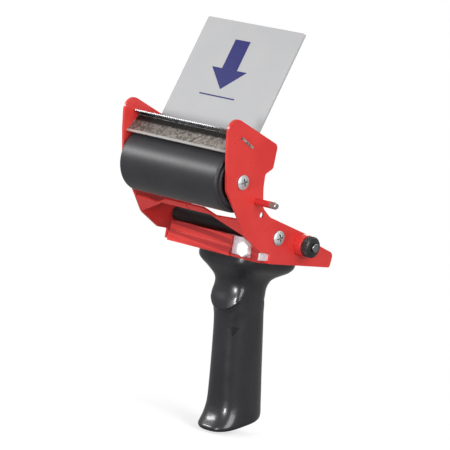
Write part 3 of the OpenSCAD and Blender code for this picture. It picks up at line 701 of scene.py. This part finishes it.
def grip_shell():
    """Rings of the grip from its top face down to the rounded edge of its butt."""
    tree = BVHTree.FromPolygons([v.co for v in frame["nodes"]["grip"].data.vertices],
                                [p.vertices for p in frame["nodes"]["grip"].data.polygons])
    low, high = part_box("grip")
    bolt_low, bolt_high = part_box("grip_bolt")
    tie_y = (bolt_low.y + bolt_high.y) / 2
    crease = high.z - CREASE_BELOW_TOP_MM * MM
    butt, butt_slope = butt_line(tree, low, tie_y)
    heights = grip_heights(high.z, crease, butt)
    tilt_top = high.z - TILT_BELOW_TOP_MM * MM
    slopes = [butt_slope * smoothstep(0, 1, (tilt_top - h) / (tilt_top - butt)) for h in heights]
    scans = [scan_ring(tree, h - (0.02 * MM if i == 0 else 0), s, tie_y, crease)
             for i, (h, s) in enumerate(zip(heights, slopes))]
    radii = without_step(heights, [r for _, r in scans], crease + 8 * MM, crease - 4 * MM)
    radii = smoothed(radii, 4)
    rings = []
    for h, s, (mid, _), ring in zip(heights, slopes, scans, radii):
        ring = [r + thumb_pad(h, from_front(k), crease) for k, r in enumerate(ring)]
        rings.append(ring_points(h, s, tie_y, mid, ring, crease))
    round_r = heights[-1] - butt - 0.05 * MM
    mid, last = scans[-1][0], radii[-1]
    for step in range(1, 7):
        turn = math.pi / 2 * step / 6
        inset = round_r * (1 - math.cos(turn))
        rings.append(ring_points(heights[-1] - round_r * math.sin(turn), butt_slope, tie_y, mid,
                                 [r - inset for r in last]))
    return rings, tie_y, butt_slope


def build_grip():
    """Pistol grip with a thumb pad over a crease, a rounded butt, and the bolt's bore and recess."""
    rings, tie_y, slope = grip_shell()
    washer_low, washer_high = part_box("grip_washer")
    recess = (washer_high.x - washer_low.x) / 2 + 0.4 * MM
    bore = 3.2 * MM
    top, butt = rings[0][0].z, rings[-1][0].z

    def circle(r, z, tilt=0.0):
        return ring_points(z, tilt, tie_y, tie_y, [r] * GRIP_SIDES)

    butt_z = butt - slope * (rings[-1][0].y - tie_y)
    rings += [circle(recess + 0.3 * MM, butt_z, slope), circle(recess, butt_z + 0.3 * MM, slope),
              circle(recess, washer_high.z), circle(bore, washer_high.z), circle(bore, top)]
    verts, faces = loft(rings)
    faces = [tuple(reversed(f)) for f in faces]
    return new_piece("grip_moulding", verts, faces, "grip_plastic", "frame", ["grip"], 40)


build_press_sleeve()
build_knob()
build_springs()
build_grip()


# ---------------------------------------------------------------- camera, light and floor

def build_camera():
    """The photograph's viewing angle, from the left side plate's front quarter."""
    azimuth, elevation, roll = math.radians(42.68), math.radians(4.94), math.radians(9.46)
    distance, lens = 1.738, 243.9
    back = Vector((math.sin(azimuth) * math.cos(elevation),
                   -math.cos(azimuth) * math.cos(elevation), math.sin(elevation)))
    level = Vector((math.cos(azimuth), math.sin(azimuth), 0))
    upright = back.cross(level)
    right = level * math.cos(roll) + upright * math.sin(roll)
    up = back.cross(right)
    data = bpy.data.cameras.new("camera")
    data.lens, data.sensor_width = lens, 36
    camera = bpy.data.objects.new("camera", data)
    aim = Vector((0, *axis_of("press_spin"))) + Vector((20.5, 15, -27.5)) * MM
    turn = Matrix((right, up, back)).transposed().to_4x4()
    camera.matrix_world = Matrix.Translation(aim + back * distance) @ turn
    data.clip_end = 50
    bpy.context.scene.collection.objects.link(camera)
    bpy.context.scene.camera = camera


def area_light(name, place, target, size, power):
    """A soft rectangular light at a place, turned to a target."""
    data = bpy.data.lights.new(name, "AREA")
    data.shape = "RECTANGLE"
    data.size, data.size_y = size
    data.energy = power
    light = bpy.data.objects.new(name, data)
    light.location = place
    light.rotation_euler = (Vector(target) - Vector(place)).to_track_quat("-Z", "Y").to_euler()
    bpy.context.scene.collection.objects.link(light)


def floor_material():
    """Near-white floor that takes a soft shadow close by and fades to white further off.

    It is darker to every ray but the camera's, so that it throws less light back up.
    """
    g = Graph("pale_floor")
    camera_only = g.add("ShaderNodeLightPath").outputs["Is Camera Ray"]
    tone = g.mix(g.noise(300, 2), rgb(240, 240, 240), rgb(246, 246, 246))
    tone = g.mix(camera_only, rgb(150, 150, 150), tone)
    diffuse = g.add("ShaderNodeBsdfDiffuse", {"Color": tone, "Roughness": 0.9,
                                              "Normal": g.bump(g.noise(40, 2), 0.02, 0.1)})
    glow = g.add("ShaderNodeEmission", {"Color": (1, 1, 1, 1), "Strength": 1.0})
    reach = g.vector_math("LENGTH", g.vector_math("MULTIPLY", g.mm, (1, 1, 0)))
    fade = g.span(reach, 60, 260, 0.62, 1.0, smooth=True)
    blend = g.add("ShaderNodeMixShader", {0: g.math("MULTIPLY", fade, camera_only),
                                          1: diffuse.outputs[0], 2: glow.outputs[0]})
    g.add("ShaderNodeOutputMaterial", {"Surface": blend.outputs[0]})
    return g.material


def build_floor():
    """Wide disc just under the lowest point of the frame."""
    floor_z = cad_low.z - 0.2 * MM
    reach, sides = 9.0, 64
    mesh = bpy.data.meshes.new("floor")
    rim = [(reach * math.cos(TAU * k / sides), reach * math.sin(TAU * k / sides), floor_z)
           for k in range(sides)]
    mesh.from_pydata(rim, [], [tuple(range(sides))])
    mesh.materials.append(floor_material())
    floor = bpy.data.objects.new("floor", mesh)
    bpy.context.scene.collection.objects.link(floor)


def build_surround(strength):
    """White surround to the camera, of a set strength as a light."""
    world = bpy.data.worlds.new("surround")
    world.use_nodes = True
    tree = world.node_tree
    tree.nodes.clear()
    seen = tree.nodes.new("ShaderNodeBackground")
    cast = tree.nodes.new("ShaderNodeBackground")
    seen.inputs[0].default_value = cast.inputs[0].default_value = (1, 1, 1, 1)
    cast.inputs[1].default_value = strength
    path = tree.nodes.new("ShaderNodeLightPath")
    blend = tree.nodes.new("ShaderNodeMixShader")
    out = tree.nodes.new("ShaderNodeOutputWorld")
    tree.links.new(path.outputs["Is Camera Ray"], blend.inputs[0])
    tree.links.new(cast.outputs[0], blend.inputs[1])
    tree.links.new(seen.outputs[0], blend.inputs[2])
    tree.links.new(blend.outputs[0], out.inputs[0])
    bpy.context.scene.world = world


def build_studio():
    """Pale floor, white surround, and soft lights; the key rakes the rollers from the upper left."""
    build_floor()
    build_surround(0.42)
    middle = (cad_low + cad_high) / 2
    area_light("key", middle + Vector((-0.78, -0.72, 0.37)), middle, (0.40, 0.20), 5.5)
    area_light("front", middle + Vector((0.25, -1.1, -0.02)), middle, (0.22, 0.22), 6.5)
    area_light("side", middle + Vector((1.1, -0.35, 0.35)), middle, (0.7, 0.7), 10)
    area_light("top", middle + Vector((0.1, 0.3, 1.2)), middle, (0.7, 0.7), 3)
    area_light("rear", middle + Vector((-0.6, 1.1, 0.5)), middle, (0.6, 0.6), 5)
    bpy.context.scene.view_settings.view_transform = "Standard"


build_camera()
build_studio()
